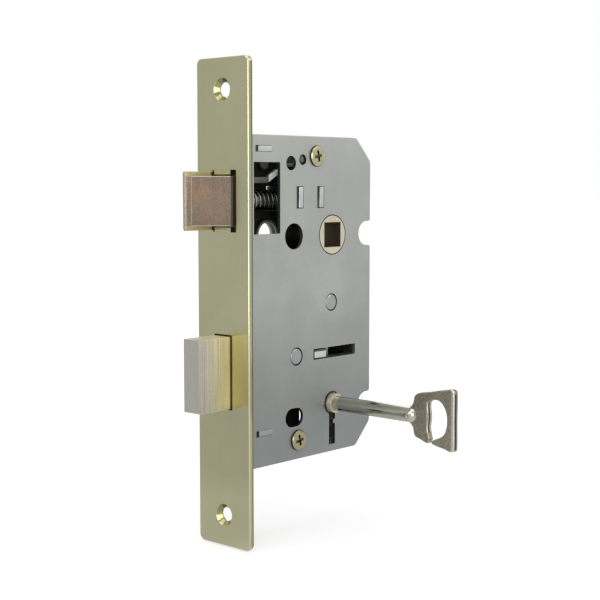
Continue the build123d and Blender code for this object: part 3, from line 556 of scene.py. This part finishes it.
say("finishes")
finishes = {
    "faceplate_brass": finish(
        "paleBrass", dark=srgb(204, 202, 166), light=srgb(214, 212, 175), line=srgb(187, 185, 150),
        edgeColour=srgb(214, 210, 168), stretch=(1, 1, 0.02), brushScale=700.0, rough=(0.15, 0.22),
        bump=0.02, speckle=0.05, lineShare=0.15, edgeWidth=0.5, edge=0.75, edgePatch=0.0,
        # the two long sides and their rounded corners, the side towards the back plate lighter as a
        # painted highlight
        bands=[("Y", -12.0, -11.2, 0.15, 0.85, srgb(210, 206, 165)),
               ("Y", 11.2, 12.0, 0.15, 0.85, srgb(228, 224, 184))],
        boxes=[
            # the side towards the cover, darker behind its rounded corner as painted shade
            mark(0.85, srgb(176, 172, 134), X=(0.4, 4.0), Y=(-11.8, -11.42)),
            mark(0.8, srgb(96, 94, 80), X=(1.3, 4.0), Y=(-11.8, -11.42)),
            # painted shade in the two countersinks, dimming their bright facets
            mark(0.85, countersinkShade, X=(0.08, 4.0), Y=(-5.0, 5.0), Z=(62.0, 73.0)),
            mark(0.85, countersinkShade, X=(0.08, 4.0), Y=(-5.0, 5.0), Z=(-73.0, -62.0)),
        ]),
    "case_zinc": finish(
        "zincSheet", dark=srgb(168, 171, 167), light=srgb(187, 190, 185), line=srgb(150, 155, 155),
        edgeColour=srgb(225, 228, 225), stretch=(1, 1, 0.05), brushScale=500.0, rough=(0.46, 0.56),
        bump=0.06, speckle=0.6, fine=1500.0, lineShare=0.12, edge=0.55,
        # painted shade lower down the case and painted light higher up
        bands=[("Z", -70.0, -24.0, 26.0, 0.75, caseShadeLow), ("Z", 34.0, 80.0, 26.0, 0.6, caseLitHigh)],
        boxes=[
            # painted shade on the inside and on the walls of the holes, and the pale boss behind the
            # window
            mark(0.8, caseInsideShade, X=(2.0, 55.0), Y=(-7.38, 6.4), Z=(-51.35, 52.55)),
            mark(0.8, caseInsideShade, X=(54.0, 62.85), Y=(-6.35, 6.4), Z=(-43.5, 44.8)),
            mark(0.9, srgb(205, 207, 203), Y=(4.1, 4.7), Z=(20.0, 48.0)),
        ] + slotShadeMarks(tabSlots),
        # painted shade in a ring round the key's collar
        rings={"centres": [keyAxis], "radius": 3.7, "width": 0.4, "tint": srgb(60, 60, 56)}),
    "bracket_zinc": finish(
        "brightZinc", dark=srgb(198, 203, 200), light=srgb(216, 221, 218), line=srgb(160, 163, 161),
        edgeColour=srgb(226, 230, 228), rough=(0.45, 0.55), edgeWidth=0.3, edge=0.0,
        # darker towards the bottom, painted shade as on the case
        bands=[("Z", -60.0, -38.0, 1.0, 0.75, srgb(150, 155, 156))],
        # painted shade behind the back plate's face and on the guide that the window shows
        boxes=[mark(0.9, paintedShade, Y=(5.8, 7.2)), mark(0.97, paintedShade, X=(26.0, 28.4), Y=(-6.2, 5.9))]),
    "pillar_zinc": finish(
        "pillarZinc", dark=srgb(120, 122, 120), light=srgb(140, 142, 140), line=srgb(170, 172, 170),
        edgeColour=srgb(240, 240, 238), rough=(0.25, 0.38), metallic=0.0,
        # painted highlights on the parts of the upper pillar that the two small holes show, over a colour
        # kept dark as painted shade inside the case
        boxes=[mark(1.0, paintedGlint, Y=(-0.5, 4.5), Z=(43.4, 45.1)),
               mark(1.0, paintedGlint, Y=(-5.2, -2.9), Z=(45.3, 47.2))]),
    "post_zinc": finish(
        "rivetZinc", dark=srgb(162, 168, 166), light=srgb(178, 183, 180), line=srgb(136, 142, 142),
        edgeColour=srgb(225, 230, 227), rough=(0.3, 0.42), edge=0.25),
    "screw_yellow": finish(
        "yellowZinc", dark=srgb(194, 188, 152), light=srgb(222, 217, 182), line=srgb(146, 138, 102),
        edgeColour=srgb(240, 236, 206), rough=(0.2, 0.34), edgeWidth=0.25, edgePatch=0.2, edge=0.8,
        # the lower screw darker, painted shade as on the case
        bands=[("Z", -60.0, -40.0, 1.0, 0.8, srgb(158, 152, 118))],
        boxes=crossMarks(recessMarks, screwPlaces),
        # painted shade in a ring round each head
        rings={"centres": screwPlaces, "radius": 3.48, "width": 0.22, "tint": srgb(70, 66, 50)}),
    "steel": finish(
        "bareSteel", dark=srgb(158, 158, 154), light=srgb(182, 182, 178), line=srgb(120, 120, 118),
        edgeColour=srgb(220, 220, 218), rough=(0.3, 0.45),
        # the bolt's stump in the cover's slot, a painted highlight below a painted shadow along its upper
        # edge
        boxes=[mark(0.85, srgb(222, 222, 218), X=(35.0, 41.4), Y=(-7.6, -7.0), Z=(-20.6, -17.7)),
               mark(0.85, srgb(64, 64, 60), X=(35.0, 41.4), Y=(-7.6, -7.0), Z=(-17.7, -16.0))]),
    "spring_steel": finish(
        "drawnWire", dark=srgb(150, 150, 146), light=srgb(186, 186, 181), line=srgb(100, 100, 98),
        edgeColour=srgb(200, 200, 198), rough=(0.18, 0.3), edge=0.0,
        # painted shade on the turns further into the case
        bands=[("X", 12.5, 40.0, 3.0, 0.85, srgb(58, 58, 56))]),
    "latch_sintered": finish(
        "latchMetal", dark=srgb(98, 85, 73), light=srgb(118, 103, 90), line=srgb(150, 137, 121),
        edgeColour=srgb(226, 218, 204), stretch=(1, 1, 0.1), brushScale=420.0, rough=(0.5, 0.62),
        metallic=0.6, bump=0.4, bumpDepth=0.05, speckle=0.8, fine=1400.0, lineShare=0.35,
        edgeWidth=0.6, edge=1.0, edgePatch=0.3,
        grain={"scale": 2500.0, "share": 0.4, "tint": srgb(78, 66, 56)},
        # the lip side lighter as a painted highlight
        bands=[("Y", 4.45, 7.0, 0.1, 0.8, srgb(188, 174, 154)),
               ("X", 0.2, 9.0, 0.3, 0.6, srgb(176, 172, 156))],
        boxes=[
            # painted reflection on the ledges above and below the bevel, and the shade in the faceplate's
            # opening
            mark(0.8, srgb(186, 177, 130), Y=(4.3, 4.65), Z=(40.5, 43.0)),
            mark(0.8, srgb(186, 177, 130), Y=(4.3, 4.65), Z=(22.5, 25.2)),
            mark(0.85, srgb(40, 36, 30), X=(-0.4, 2.0)),
        ],
        stains=[
            {"place": (-7.4, 2.8, 35.8), "radius": 5.6, "scale": 700.0,
             "share": 0.55, "tint": srgb(156, 112, 70)},
            {"place": (-4.6, 0.0, 28.0), "radius": 6.0, "scale": 800.0,
             "share": 0.35, "tint": srgb(144, 112, 84)},
        ]),
    "bolt_sintered": finish(
        "boltMetal", dark=srgb(160, 156, 145), light=srgb(182, 178, 168), line=srgb(98, 86, 56),
        edgeColour=srgb(240, 237, 226), stretch=(1, 0.12, 0.012), brushScale=1700.0, brush=1.3,
        rough=(0.5, 0.64), metallic=0.35, bump=0.3, bumpDepth=0.04, speckle=0.5, lineShare=0.4,
        edge=0.8, grain={"scale": 2300.0, "share": 0.2, "tint": srgb(120, 114, 98)},
        bands=[("X", -6.5, 3.0, 5.0, 0.75, srgb(240, 224, 156))],
        # the shade in the faceplate's opening, and the plainer front end
        boxes=[mark(0.85, srgb(44, 40, 28), X=(-0.5, 2.0)),
               mark(0.75, srgb(148, 146, 138), X=(-14.5, -13.6))]),
    "follower_brass": finish(
        "palerBrass", dark=srgb(216, 207, 182), light=srgb(234, 227, 206), line=srgb(170, 158, 130),
        edgeColour=srgb(240, 234, 215), rough=(0.35, 0.5), speckle=0.5, bump=0.25,
        # painted shade in the square hole and on the horn inside the case
        boxes=[mark(0.88, srgb(88, 77, 60), X=(39.8, 48.2), Z=(17.0, 25.4)),
               mark(0.88, srgb(44, 39, 32), X=(28.0, 37.2))],
        # painted shade in a ring where the follower sits in the cover
        rings={"centres": [followerAxis], "radius": 6.62, "width": 0.3, "tint": paintedShade}),
    "lever_steel": finish(
        "leverSteel", dark=srgb(150, 152, 150), light=srgb(176, 178, 176), line=srgb(120, 122, 120),
        edgeColour=srgb(215, 215, 213), rough=(0.3, 0.4)),
    "key_nickel": finish(
        "nickel", dark=srgb(186, 184, 168), light=srgb(216, 214, 202), line=srgb(128, 124, 106),
        edgeColour=srgb(235, 232, 222), stretch=(1, 0.05, 1), brushScale=420.0, rough=(0.1, 0.22),
        lineShare=0.4),
    "key_bow_nickel": finish(
        "castNickel", dark=srgb(158, 152, 138), light=srgb(190, 185, 170), line=srgb(112, 106, 92),
        edgeColour=srgb(226, 223, 211), rough=(0.25, 0.42), speckle=1.0, bump=0.5, bumpDepth=0.06,
        edgeWidth=0.75, edge=0.8, edgePatch=0.5,
        grain={"scale": 1400.0, "share": 0.45, "tint": srgb(112, 106, 92)},
        boxes=[
            # the far end: a dark line along its middle, duller behind it and a painted highlight before it
            mark(0.95, srgb(48, 42, 32), X=(43.3, 44.1), Y=(-60.0, -58.5), Z=(-44.9, -27.2)),
            mark(0.6, srgb(126, 121, 106), X=(44.1, 46.0), Y=(-60.0, -58.5)),
            mark(0.8, srgb(222, 219, 207), X=(42.0, 43.25), Y=(-60.0, -57.7)),
            # the wall of the hole in the same way, with a painted highlight before it
            mark(0.9, srgb(62, 54, 42), X=(43.15, 43.9), **bowHole),
            mark(0.7, srgb(206, 198, 178), X=(43.9, 46.0), **bowHole),
            mark(0.8, srgb(226, 222, 210), X=(42.0, 43.1), Y=(-48.6, -48.0), Z=bowHole["Z"]),
        ]),
}
# painted shade: a dark steel for the key's bit, which stands in the dark of the case
bitShadeSteel = finish(
    "bitShadeSteel", dark=srgb(46, 46, 43), light=srgb(66, 66, 62), line=srgb(30, 30, 28),
    edgeColour=srgb(110, 110, 105), rough=(0.35, 0.5), edge=0.3)
collarNickel = finish(
    "collarNickel", dark=srgb(186, 180, 162), light=srgb(214, 209, 194), line=srgb(120, 114, 96),
    edgeColour=srgb(240, 236, 224), rough=(0.2, 0.34), metallic=0.6, edgeWidth=0.25)
# painted shade: the strip kept dark inside the case, with a painted highlight on its bent end
stripSteel = finish(
    "stripSteel", dark=srgb(96, 97, 94), light=srgb(116, 117, 113), line=srgb(70, 70, 68),
    edgeColour=srgb(220, 220, 216), rough=(0.3, 0.45), metallic=0.0, edgeWidth=0.2,
    boxes=[mark(1.0, srgb(250, 251, 248), X=(20.4, 26.0))])  # painted highlight on its bent end, which catches the light

say("finishes on the carried-over pieces")
slotOf = {row["node"]: row["material_slot"] for row in frame["record"]["subparts"]}
for name, slot in slotOf.items():
    node = frame["nodes"][name]
    node.data.materials.clear()
    node.data.materials.append(finishes[slot])
frame["nodes"]["key_bit"].data.materials[0] = bitShadeSteel  # painted shade, as it stands in the dark of the case
frame["nodes"]["key_collar"].data.materials[0] = collarNickel


# shapes shared by several pieces


def addObject(name, mesh):
    thing = bpy.data.objects.new(name, mesh)
    bpy.context.collection.objects.link(thing)
    return thing


def meshFrom(bm, name):
    mesh = bpy.data.meshes.new(name)
    bm.to_mesh(mesh)
    bm.free()
    return mesh


def plainMesh(thing, name):
    # the evaluated shape as a mesh with no modifiers
    bpy.context.view_layer.update()
    graph = bpy.context.evaluated_depsgraph_get()
    mesh = bpy.data.meshes.new_from_object(thing.evaluated_get(graph), depsgraph=graph)
    mesh.name = name
    return mesh


def settle(thing, name):
    # swap an object for a new one that holds its finished mesh
    mesh = plainMesh(thing, name)
    old = thing.data
    bpy.data.objects.remove(thing)
    bpy.data.meshes.remove(old)
    return addObject(name, mesh)


def smoothFaces(mesh):
    mesh.polygons.foreach_set("use_smooth", [True] * len(mesh.polygons))


def stand(piece, node, body):
    # finish, slot, body and the solid that the piece stands for
    if not piece.data.materials:
        piece.data.materials.append(finishes[slotOf[node]])
    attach(piece, body)
    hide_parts(node)


copySettings = {
    "weld": 1e-6, "flat": 0.5,  # m, and the degrees under which two faces count as one
    "segments": 2, "easeAngle": 32.0,
    "smoothAngle": 30.0, "weight": 100,
}


def solidCopy(node, s):
    bm = bmesh.new()
    bm.from_mesh(frame["nodes"][node].data)
    bmesh.ops.remove_doubles(bm, verts=bm.verts, dist=s["weld"])
    return bm


def softCopy(s, node, name, body, width, paint=None):
    # the same solid with its sharp edges eased, as on stamped and ground metal
    bm = solidCopy(node, s)
    bmesh.ops.dissolve_limit(bm, angle_limit=math.radians(s["flat"]), verts=bm.verts, edges=bm.edges)
    mesh = meshFrom(bm, name)
    smoothFaces(mesh)
    thing = addObject(name, mesh)
    ease = thing.modifiers.new("ease", "BEVEL")
    ease.width = width * mm
    ease.segments = s["segments"]
    ease.limit_method = "ANGLE"
    ease.angle_limit = math.radians(s["easeAngle"])
    ease.harden_normals = True
    ease.use_clamp_overlap = True
    piece = settle(thing, name)
    if paint:
        piece.data.materials.clear()
        piece.data.materials.append(paint)
    stand(piece, node, body)


def smoothCopy(s, node, name, body):
    # the same solid with its round walls shaded round and its flat faces kept flat
    bm = solidCopy(node, s)
    for edge in bm.edges:
        edge.smooth = edge.calc_face_angle(0.0) < math.radians(s["smoothAngle"])
    mesh = meshFrom(bm, name)
    smoothFaces(mesh)
    thing = addObject(name, mesh)
    flatten = thing.modifiers.new("flatten", "WEIGHTED_NORMAL")
    flatten.keep_sharp = True
    flatten.weight = s["weight"]
    stand(settle(thing, name), node, body)


say("faceplate")
smoothCopy(copySettings, "faceplate", "facePlate", "case")

say("eased edges")
easedPieces = [
    # node, piece, body, width in mm, own finish
    ("latch_head", "latchHead", "latch", 0.3),
    ("latch_strip", "latchStrip", "latch", 0.12, stripSteel),
    ("latch_stirrup", "latchStirrup", "latch", 0.2),
    ("deadbolt_head", "boltHead", "deadbolt", 0.35),
    ("deadbolt_stump", "boltStump", "deadbolt", 0.2),
    ("bracket_top", "bracketTop", "case", 0.55),
    ("bracket_bottom", "bracketBottom", "case", 0.55),
    ("latch_guide_front", "guideFront", "case", 0.55),
    ("latch_guide_rear", "guideRear", "case", 0.55),
]
for row in easedPieces:
    softCopy(copySettings, *row)


# geometry node helpers


def newTree(name, inputs):
    geometry = ("Geometry", "NodeSocketGeometry")
    return newGroup("GeometryNodeTree", name, [geometry] + inputs, [geometry])


def runTree(thing, tree, values):
    modifier = thing.modifiers.new("shape", "NODES")
    modifier.node_group = tree
    for item in tree.interface.items_tree:
        if item.in_out == "INPUT" and item.name in values:
            modifier[item.identifier] = values[item.name]


def endTree(tree, geometry, end, material):
    real = tree.nodes.new("GeometryNodeRealizeInstances")
    paint = tree.nodes.new("GeometryNodeSetMaterial")
    tree.links.new(geometry, real.inputs[0])
    tree.links.new(real.outputs[0], paint.inputs["Geometry"])
    tree.links.new(material, paint.inputs["Material"])
    tree.links.new(paint.outputs[0], end.inputs["Geometry"])


say("latch spring")
springSettings = {
    "start": 8.05, "length": 19.65, "outside": 7.0, "wire": 0.8, "axisZ": latchAxisZ,
    "turns": 11.0, "closed": 0.1, "closedLift": 0.95, "steps": 420, "sides": 14, "keep": 0.41,
}


def easeNode(tree, value, points):
    # a share from 0 to 1 bent through straight lines between points
    node = tree.nodes.new("ShaderNodeFloatCurve")
    curve = node.mapping.curves[0].points
    curve[0].location = (0.0, 0.0)
    curve[1].location = (1.0, 1.0)
    for x, y in points:
        curve.new(x, y)
    for point in curve:
        point.handle_type = "VECTOR"
    node.mapping.update()
    tree.links.new(value, node.inputs["Value"])
    return node.outputs[0]


def makeSpringTree(s):
    # a helix on its side whose end turns lie close, from the spline factor
    tree, start, end = newTree("coilTree", [
        ("Turns", "NodeSocketFloat"), ("Radius", "NodeSocketFloat"), ("Wire", "NodeSocketFloat"),
        ("Start", "NodeSocketFloat"), ("Length", "NodeSocketFloat"), ("Axis Z", "NodeSocketFloat"),
        ("Steps", "NodeSocketInt"), ("Sides", "NodeSocketInt"), ("Material", "NodeSocketMaterial")])
    given = start.outputs
    line = tree.nodes.new("GeometryNodeCurvePrimitiveLine")
    resample = tree.nodes.new("GeometryNodeResampleCurve")
    factor = tree.nodes.new("GeometryNodeSplineParameter").outputs["Factor"]
    place = tree.nodes.new("GeometryNodeSetPosition")
    ring = tree.nodes.new("GeometryNodeCurvePrimitiveCircle")
    sweep = tree.nodes.new("GeometryNodeCurveToMesh")
    tree.links.new(line.outputs[0], resample.inputs["Curve"])
    tree.links.new(given["Steps"], resample.inputs["Count"])
    tree.links.new(resample.outputs[0], place.inputs["Geometry"])
    angle = mathNode(tree, "MULTIPLY", mathNode(tree, "MULTIPLY", factor, given["Turns"]), 2 * math.pi)
    share, lift = s["closed"], s["closedLift"] / s["length"]
    eased = easeNode(tree, factor, ((share, lift), (1 - share, 1 - lift)))
    x = mathNode(tree, "ADD", mathNode(tree, "MULTIPLY", eased, given["Length"]), given["Start"])
    y = mathNode(tree, "MULTIPLY", mathNode(tree, "COSINE", angle), given["Radius"])
    lifted = mathNode(tree, "MULTIPLY", mathNode(tree, "SINE", angle), given["Radius"])
    z = mathNode(tree, "ADD", lifted, given["Axis Z"])
    join = tree.nodes.new("ShaderNodeCombineXYZ")
    for value, socket in zip((x, y, z), join.inputs):
        tree.links.new(value, socket)
    tree.links.new(join.outputs[0], place.inputs["Position"])
    tree.links.new(given["Wire"], ring.inputs["Radius"])
    tree.links.new(given["Sides"], ring.inputs["Resolution"])
    tree.links.new(place.outputs[0], sweep.inputs["Curve"])
    tree.links.new(ring.outputs[0], sweep.inputs["Profile Curve"])
    sweep.inputs["Fill Caps"].default_value = True
    endTree(tree, sweep.outputs[0], end, given["Material"])
    return tree


def makeSpring(s):
    thing = addObject("springMaker", bpy.data.meshes.new("springMaker"))
    wire = s["wire"] / 2
    runTree(thing, makeSpringTree(s), {
        "Turns": s["turns"], "Radius": (s["outside"] / 2 - wire) * mm, "Wire": wire * mm,
        "Start": (s["start"] + wire) * mm, "Length": (s["length"] - s["wire"]) * mm,
        "Axis Z": s["axisZ"] * mm, "Steps": s["steps"], "Sides": s["sides"],
        "Material": finishes["spring_steel"]})
    piece = settle(thing, "latchSpring")
    smoothFaces(piece.data)
    stand(piece, "latch_spring", "case")
    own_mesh(piece)


makeSpring(springSettings)


# turned shapes and their copies


def lathe(name, profile, sides):
    # turn radius and height pairs round Z, a zero radius closes an end
    bm = bmesh.new()
    turn = [2 * math.pi * i / sides for i in range(sides)]
    rings = []
    for radius, height in profile:
        if radius == 0:
            rings.append([bm.verts.new((0, 0, height * mm))])
            continue
        r, z = radius * mm, height * mm
        rings.append([bm.verts.new((r * math.cos(t), r * math.sin(t), z)) for t in turn])
    for low, high in zip(rings, rings[1:]):
        for i in range(sides):
            j = (i + 1) % sides
            if len(low) == 1:
                bm.faces.new((low[0], high[j], high[i]))
            elif len(high) == 1:
                bm.faces.new((low[i], low[j], high[0]))
            else:
                bm.faces.new((low[i], low[j], high[j], high[i]))
    bmesh.ops.recalc_face_normals(bm, faces=bm.faces)
    return meshFrom(bm, name)


def smoothTurned(name, profile, sides):
    source = addObject(name, lathe(name, profile, sides))
    smoothFaces(source.data)
    return source


def makePlacingTree():
    # one source shape on every point, turned as the point's own attribute says
    tree, start, end = newTree(
        "fastenerTree", [("Source", "NodeSocketObject"), ("Material", "NodeSocketMaterial")])
    info = tree.nodes.new("GeometryNodeObjectInfo")
    turn = tree.nodes.new("GeometryNodeInputNamedAttribute")
    turn.data_type = "FLOAT_VECTOR"
    turn.inputs["Name"].default_value = "turn"
    spread = tree.nodes.new("GeometryNodeInstanceOnPoints")
    tree.links.new(start.outputs["Source"], info.inputs["Object"])
    tree.links.new(start.outputs["Geometry"], spread.inputs["Points"])
    tree.links.new(info.outputs["Geometry"], spread.inputs["Instance"])
    tree.links.new(turn.outputs[0], spread.inputs["Rotation"])
    endTree(tree, spread.outputs[0], end, start.outputs["Material"])
    return tree


placingTree = makePlacingTree()


def placeCopies(name, source, places, material):
    # places: point in mm and its turn in degrees
    mesh = bpy.data.meshes.new(name)
    mesh.from_pydata([Vector(point) * mm for point, turn in places], [], [])
    turns = mesh.attributes.new("turn", "FLOAT_VECTOR", "POINT")
    turns.data.foreach_set("vector", [math.radians(v) for point, turn in places for v in turn])
    thing = addObject(name, mesh)
    runTree(thing, placingTree, {"Source": source, "Material": material})
    piece = settle(thing, name)
    old = source.data
    bpy.data.objects.remove(source)
    bpy.data.meshes.remove(old)
    return piece


say("cover screws")
screwSettings = {
    "places": screwPlaces, "face": coverFace, "turn": 11.0, "sides": 64,
    "shank": 1.88, "length": 9.0, "tip": 0.3,
    "headRadius": 3.5, "headHeight": 0.9,
    # how far in from the head's radius in mm, and the share of its height
    "rim": [(0.0, 0.0), (0.0, 0.22), (0.1, 0.55), (0.5, 0.97), (0.7, 1.0)],
    "recessLength": 4.1, "recessWidth": 1.1, "recessDepth": 0.68,
    "recessFoot": 0.72, "recessMouth": 1.12,  # shares of its length and width
    "ease": 0.06, "easeSegments": 2, "easeAngle": 35.0,
}


def recessArm(s, quarter):
    # one tapering arm of the cross, open above the head
    bm = bmesh.new()
    bmesh.ops.create_cube(bm, size=1.0)
    depth = s["recessDepth"]
    for v in bm.verts:
        taper = s["recessFoot"] if v.co.z < 0 else s["recessMouth"]
        z = s["headHeight"] - depth + (v.co.z + 0.5) * 2 * depth
        v.co = Vector((v.co.x * s["recessLength"] * taper, v.co.y * s["recessWidth"] * taper, z)) * mm
        v.co.rotate(Quaternion((0, 0, 1), math.radians(90 * quarter)))
    return addObject("recess", meshFrom(bm, "recess"))


def makeScrews(s):
    r, h = s["headRadius"], s["headHeight"]
    shank, tip, long = s["shank"], s["tip"], s["length"]
    profile = [(0, -long), (shank - tip, -long), (shank, tip - long), (shank, 0.0)]
    profile += [(r - inset, share * h) for inset, share in s["rim"]] + [(0, h)]
    screw = addObject("screwSource", lathe("screwSource", profile, s["sides"]))
    for quarter in range(2):
        cutter = recessArm(s, quarter)
        cut = screw.modifiers.new("cut", "BOOLEAN")
        cut.operation = "DIFFERENCE"
        cut.solver = "EXACT"
        cut.object = cutter
        screw = settle(screw, "screwSource")
        bpy.data.objects.remove(cutter)
    ease = screw.modifiers.new("ease", "BEVEL")
    ease.width = s["ease"] * mm
    ease.segments = s["easeSegments"]
    ease.angle_limit = math.radians(s["easeAngle"])
    screw = settle(screw, "screwSource")
    places = [((x, s["face"], z), (90, -s["turn"], 0)) for x, z in s["places"]]
    piece = placeCopies("coverScrews", screw, places, finishes["screw_yellow"])
    stand(piece, "cover_screws", "case")


makeScrews(screwSettings)


say("rivet ends of the two posts")
rivetSettings = {
    "posts": [  # node, piece, axis, shaft's diameter
        ("lever_pivot_post", "leverPost", leverPostAxis, 4.0),
        ("spring_post", "springPost", springPostAxis, 3.6),
    ],
    "sides": 64, "middle": -0.01, "plate": 7.5, "inside": 6.3, "rim": 2.98, "gapDepth": 0.45,
    "crown": 2.62, "crownFoot": 0.03,
    "crownEdge": [(0.0, -0.2), (0.12, -0.04), (0.5, 0.03)],  # in from the crown, over the plate's face
    "flat": 0.45, "flatDrop": 0.01, "dome": 0.1,  # flat is a share of the crown
}


def makePosts(s):
    # each half runs from the middle of the case to the crown in one plate
    plate, rim, c = s["plate"], s["rim"], s["crown"]
    top, groove = plate + s["dome"], plate - s["gapDepth"]
    for node, name, (x, z), across in s["posts"]:
        profile = [(0, s["middle"]), (across / 2, s["middle"]), (across / 2, s["inside"]),
                   (rim, s["inside"]), (rim, groove), (c + s["crownFoot"], groove)]
        profile += [(c - inset, plate + height) for inset, height in s["crownEdge"]]
        profile += [(c * s["flat"], top - s["flatDrop"]), (0, top)]
        source = smoothTurned("postSource", profile, s["sides"])
        places = [((x, 0, z), (90, 0, 0)), ((x, 0, z), (-90, 0, 0))]
        piece = placeCopies(name, source, places, finishes["post_zinc"])
        stand(piece, node, "case")


makePosts(rivetSettings)


say("key shaft")
shaftSettings = {
    "axis": keyAxis, "radius": 2.5, "back": 7.5, "end": -44.2, "foot": 0.4, "sides": 72,
    # in from the radius, back from the end
    "dome": [(0.0, 3.2), (-0.06, 2.4), (0.02, 1.7), (0.35, 0.9), (1.0, 0.3), (1.8, 0.04)],
}


def makeKeyShaft(s):
    # a plain round bar whose domed end closes over the bow
    r, foot, long = s["radius"], s["foot"], s["back"] - s["end"]
    profile = [(0, 0.0), (r - foot, 0.0), (r, foot)]
    profile += [(r - inset, long - back) for inset, back in s["dome"]] + [(0, long)]
    source = smoothTurned("shaftSource", profile, s["sides"])
    x, z = s["axis"]
    piece = placeCopies("keyShaft", source, [((x, s["back"], z), (90, 0, 0))], finishes["key_nickel"])
    stand(piece, "key_shaft", "key")


makeKeyShaft(shaftSettings)


say("key bow")
bowSettings = {
    "axis": keyAxis, "thick": 2.2, "edge": 0.35, "edgeSteps": 2, "curveSteps": 6, "weld": 2e-6,
    # y in the part's frame, and z from the key's axis
    "outer": [(-40.2, 1.3), (-41.2, 2.3), (-42.0, 3.2), (-42.56, 3.95), (-42.95, 5.25), (-43.2, 6.3),
              (-43.9, 7.05), (-44.75, 7.5), (-48.7, 8.25), (-52.6, 9.1), (-56.4, 9.8), (-57.9, 9.9),
              (-58.6, 9.4), (-58.75, 8.6), (-58.75, 0.0), (-58.8, -8.6), (-58.65, -9.5), (-58.0, -9.85),
              (-56.7, -9.76), (-55.9, -9.5), (-54.7, -9.2), (-52.8, -8.87), (-50.9, -8.45), (-50.1, -8.1)],
    "slitBack": [(-50.15, -7.5), (-50.8, -6.95)],
    "hole": [(-51.98, -6.35), (-53.5, -5.7), (-54.7, -4.75), (-55.65, -2.85), (-56.0, 0.1), (-55.55, 2.75),
             (-54.55, 4.5), (-53.4, 5.6), (-51.85, 6.05), (-50.2, 5.75), (-49.1, 5.3), (-48.7, 4.4),
             (-48.68, 2.8), (-48.95, 0.95), (-48.9, -1.0), (-48.62, -2.95), (-48.85, -4.9), (-49.1, -6.0)],
    "slitFront": [(-49.35, -6.8), (-49.15, -7.5), (-48.9, -8.05)],
    "lower": [(-48.3, -8.2), (-46.9, -7.85), (-45.7, -7.35), (-44.1, -6.9), (-43.3, -6.3), (-42.9, -4.9),
              (-42.6, -3.7), (-42.0, -3.0), (-41.2, -2.3), (-40.2, -1.3)],
}


def makeBow(s):
    # a flat cast blank whose slit joins the hole to the lower edge, so it has one outline
    curve = bpy.data.curves.new("bowMaker", "CURVE")
    curve.dimensions = "2D"
    curve.fill_mode = "BOTH"
    curve.resolution_u = s["curveSteps"]
    outline = s["outer"] + s["slitBack"] + s["hole"] + s["slitFront"] + s["lower"]
    spline = curve.splines.new("BEZIER")
    spline.bezier_points.add(len(outline) - 1)
    for point, (y, z) in zip(spline.bezier_points, outline):
        point.co = (y * mm, z * mm, 0)
        point.handle_left_type = "AUTO"
        point.handle_right_type = "AUTO"
    spline.use_cyclic_u = True
    curve.bevel_depth = s["edge"] * mm
    curve.bevel_resolution = s["edgeSteps"]
    curve.offset = -s["edge"] * mm
    curve.extrude = (s["thick"] / 2 - s["edge"]) * mm
    thing = addObject("bowMaker", curve)
    mesh = plainMesh(thing, "keyBow")
    bpy.data.objects.remove(thing)
    bpy.data.curves.remove(curve)
    axisX, axisZ = s["axis"]
    for vertex in mesh.vertices:
        y, z, x = vertex.co
        vertex.co = (axisX * mm + x, y, axisZ * mm + z)
    bm = bmesh.new()
    bm.from_mesh(mesh)
    bmesh.ops.remove_doubles(bm, verts=bm.verts, dist=s["weld"])
    bmesh.ops.recalc_face_normals(bm, faces=bm.faces)
    bm.to_mesh(mesh)
    bm.free()
    piece = addObject("keyBow", mesh)
    mesh.materials.clear()
    stand(piece, "key_bow", "key")


makeBow(bowSettings)


say("key pin")
pinSettings = {
    "axis": keyAxis, "y": -41.6, "half": 2.66, "radius": 0.85, "middle": -0.01, "sides": 32,
    # in from the radius, back from the end: a rim round a shallow hollow
    "rim": [(0.0, 0.25), (0.1, 0.08), (0.25, 0.0), (0.4, 0.1), (0.62, 0.38)], "hollow": 0.42,
}


def makeKeyPin(s):
    r, h = s["radius"], s["half"]
    profile = [(0, s["middle"]), (r, s["middle"])]
    profile += [(r - inset, h - back) for inset, back in s["rim"]] + [(0, h - s["hollow"])]
    source = smoothTurned("pinSource", profile, s["sides"])
    x, z = s["axis"]
    places = [((x, s["y"], z), (0, 90, 0)), ((x, s["y"], z), (0, -90, 0))]
    piece = placeCopies("keyPin", source, places, finishes["key_nickel"])
    stand(piece, "key_bow_pin", "key")


makeKeyPin(pinSettings)


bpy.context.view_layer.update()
say("done")
